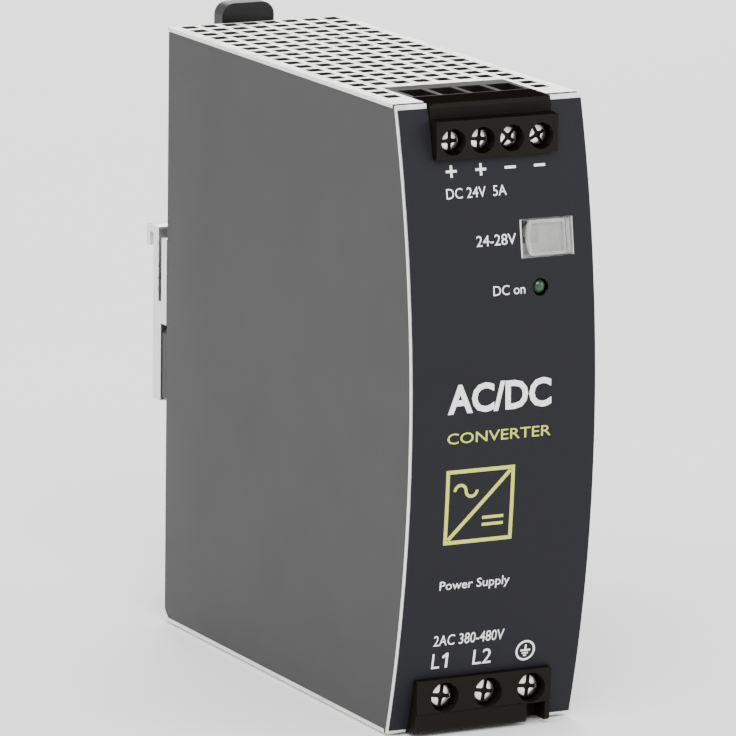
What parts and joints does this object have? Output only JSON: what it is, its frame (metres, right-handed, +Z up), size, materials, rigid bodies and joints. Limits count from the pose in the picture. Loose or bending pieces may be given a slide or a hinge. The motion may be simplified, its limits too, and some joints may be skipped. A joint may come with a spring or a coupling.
{
  "type": "din rail power supply",
  "caption": "Narrow rail-mounted power supply: convex dark front, perforated metal top, screw terminals above and below, and a sprung rail latch behind.",
  "frame": {"origin": "rail datum: the middle of the plane at the back where the flanges of the mounting rail seat", "axes": "+X to the right seen from the front, +Y from the front to the rail, +Z up"},
  "size_m": [0.04, 0.1203, 0.1274],
  "materials": {
    "grey_aluminium": "satin grey, fine brushed",
    "zinc_sheet": "bright zinc plated",
    "front_foil": "printed polyester foil, fine texture",
    "zinc_screw": "zinc plated",
    "terminal_plastic": "moulded",
    "tinned_copper": "tinned",
    "black_plastic": "moulded",
    "trimmer_blue": "moulded",
    "trimmer_white": "moulded",
    "clear_plastic": "clear moulded plastic",
    "green_lens": "tinted lens",
    "circuit_board": "solder mask",
    "bare_aluminium": "extruded",
    "spring_steel": "drawn wire",
    "insulating_film": "film",
    "ceramic_part": "dipped",
    "ferrite": "sintered",
    "copper_wire": "enamelled",
    "coil_tape": "tape",
    "component_grey": "moulded",
    "capacitor_sleeve": "sleeve",
    "nickel_screw": "nickel plated, brushed head",
    "clamp_steel": "zinc plated"
  },
  "bodies": {
    "housing": {"housing_body": "grey_aluminium", "top_grille": "zinc_sheet", "bottom_grille": "zinc_sheet", "front_panel": "zinc_sheet", "front_foil": "front_foil", "cover_screws": "zinc_screw", "output_terminal_block": "terminal_plastic", "output_bars": "tinned_copper", "input_terminal_block": "terminal_plastic", "input_bars": "tinned_copper", "flap_frame": "clear_plastic", "trimmer_case": "trimmer_blue", "status_light": "green_lens", "control_board": "circuit_board", "rail_bracket": "bare_aluminium", "bracket_screws": "zinc_screw", "spring_stop": "zinc_sheet", "latch_guide": "zinc_sheet", "main_board": "circuit_board", "insulation_foil": "insulating_film", "board_spacers": "zinc_screw", "board_screws": "zinc_screw", "input_fuses": "ceramic_part", "surge_discs": "ceramic_part", "inrush_thermistor": "ceramic_part", "line_choke_core": "ferrite", "line_choke_winding": "copper_wire", "filter_capacitors": "component_grey", "bridge_rectifier": "black_plastic", "bulk_capacitors": "capacitor_sleeve", "transformer_core": "ferrite", "transformer_coil": "coil_tape", "heat_spreader": "bare_aluminium", "power_transistors": "black_plastic", "output_rectifiers": "black_plastic", "output_choke_core": "ferrite", "output_choke_winding": "copper_wire", "output_capacitors": "capacitor_sleeve", "optocouplers": "component_grey", "earth_strap": "tinned_copper", "earth_screw": "zinc_screw"},
    "latch": {"rail_latch": "black_plastic", "latch_spring": "spring_steel"},
    "flap": {"trimmer_flap": "clear_plastic"},
    "trimmer": {"trimmer_rotor": "trimmer_white"},
    "output_screw_1_body": {"output_screw_1": "nickel_screw"},
    "output_cage_1_body": {"output_cage_1": "clamp_steel"},
    "output_screw_2_body": {"output_screw_2": "nickel_screw"},
    "output_cage_2_body": {"output_cage_2": "clamp_steel"},
    "output_screw_3_body": {"output_screw_3": "nickel_screw"},
    "output_cage_3_body": {"output_cage_3": "clamp_steel"},
    "output_screw_4_body": {"output_screw_4": "nickel_screw"},
    "output_cage_4_body": {"output_cage_4": "clamp_steel"},
    "input_screw_1_body": {"input_screw_1": "nickel_screw"},
    "input_cage_1_body": {"input_cage_1": "clamp_steel"},
    "input_screw_2_body": {"input_screw_2": "nickel_screw"},
    "input_cage_2_body": {"input_cage_2": "clamp_steel"},
    "input_screw_3_body": {"input_screw_3": "nickel_screw"},
    "input_cage_3_body": {"input_cage_3": "clamp_steel"}
  },
  "joints": [
    {"name": "latch_slide", "type": "slide", "parent": "housing", "child": "latch", "axis": [0, 0, -1], "range_m": [0, 0.0035], "stiffness_N_per_m": 1500, "springref_m": -0.003, "deforming": ["latch_spring"]},
    {"name": "flap_hinge", "type": "hinge", "parent": "housing", "child": "flap", "pos_m": [0.01505, -0.11373, 0.03466], "axis": [0, 0.1513, 0.9885], "range_deg": [0, 100]},
    {"name": "trimmer_turn", "type": "hinge", "parent": "housing", "child": "trimmer", "pos_m": [0.00925, -0.109, 0.0349], "axis": [0, 1, 0], "range_deg": [-135, 135]},
    {"name": "output_screw_1_turn", "type": "hinge", "parent": "housing", "child": "output_screw_1_body", "pos_m": [-0.00953, -0.108, 0.0543], "axis": [0, 1, 0], "range_deg": [0, 2880]},
    {"name": "output_cage_1_lift", "type": "slide", "parent": "housing", "child": "output_cage_1_body", "axis": [0, -1, 0], "range_m": [0, 0.004]},
    {"name": "output_screw_2_turn", "type": "hinge", "parent": "housing", "child": "output_screw_2_body", "pos_m": [-0.00317, -0.108, 0.0543], "axis": [0, 1, 0], "range_deg": [0, 2880]},
    {"name": "output_cage_2_lift", "type": "slide", "parent": "housing", "child": "output_cage_2_body", "axis": [0, -1, 0], "range_m": [0, 0.004]},
    {"name": "output_screw_3_turn", "type": "hinge", "parent": "housing", "child": "output_screw_3_body", "pos_m": [0.00317, -0.108, 0.0543], "axis": [0, 1, 0], "range_deg": [0, 2880]},
    {"name": "output_cage_3_lift", "type": "slide", "parent": "housing", "child": "output_cage_3_body", "axis": [0, -1, 0], "range_m": [0, 0.004]},
    {"name": "output_screw_4_turn", "type": "hinge", "parent": "housing", "child": "output_screw_4_body", "pos_m": [0.00953, -0.108, 0.0543], "axis": [0, 1, 0], "range_deg": [0, 2880]},
    {"name": "output_cage_4_lift", "type": "slide", "parent": "housing", "child": "output_cage_4_body", "axis": [0, -1, 0], "range_m": [0, 0.004]},
    {"name": "input_screw_1_turn", "type": "hinge", "parent": "housing", "child": "input_screw_1_body", "pos_m": [-0.0095, -0.108, -0.0552], "axis": [0, 1, 0], "range_deg": [0, 2160]},
    {"name": "input_cage_1_lift", "type": "slide", "parent": "housing", "child": "input_cage_1_body", "axis": [0, -1, 0], "range_m": [0, 0.0036]},
    {"name": "input_screw_2_turn", "type": "hinge", "parent": "housing", "child": "input_screw_2_body", "pos_m": [0, -0.108, -0.0552], "axis": [0, 1, 0], "range_deg": [0, 2160]},
    {"name": "input_cage_2_lift", "type": "slide", "parent": "housing", "child": "input_cage_2_body", "axis": [0, -1, 0], "range_m": [0, 0.0036]},
    {"name": "input_screw_3_turn", "type": "hinge", "parent": "housing", "child": "input_screw_3_body", "pos_m": [0.0095, -0.108, -0.0552], "axis": [0, 1, 0], "range_deg": [0, 2160]},
    {"name": "input_cage_3_lift", "type": "slide", "parent": "housing", "child": "input_cage_3_body", "axis": [0, -1, 0], "range_m": [0, 0.0036]}
  ],
  "couplings": [
    {"joint": "output_screw_1_turn", "follows": "output_cage_1_lift", "rad_per_m": 12566},
    {"joint": "output_screw_2_turn", "follows": "output_cage_2_lift", "rad_per_m": 12566},
    {"joint": "output_screw_3_turn", "follows": "output_cage_3_lift", "rad_per_m": 12566},
    {"joint": "output_screw_4_turn", "follows": "output_cage_4_lift", "rad_per_m": 12566},
    {"joint": "input_screw_1_turn", "follows": "input_cage_1_lift", "rad_per_m": 10472},
    {"joint": "input_screw_2_turn", "follows": "input_cage_2_lift", "rad_per_m": 10472},
    {"joint": "input_screw_3_turn", "follows": "input_cage_3_lift", "rad_per_m": 10472}
  ]
}
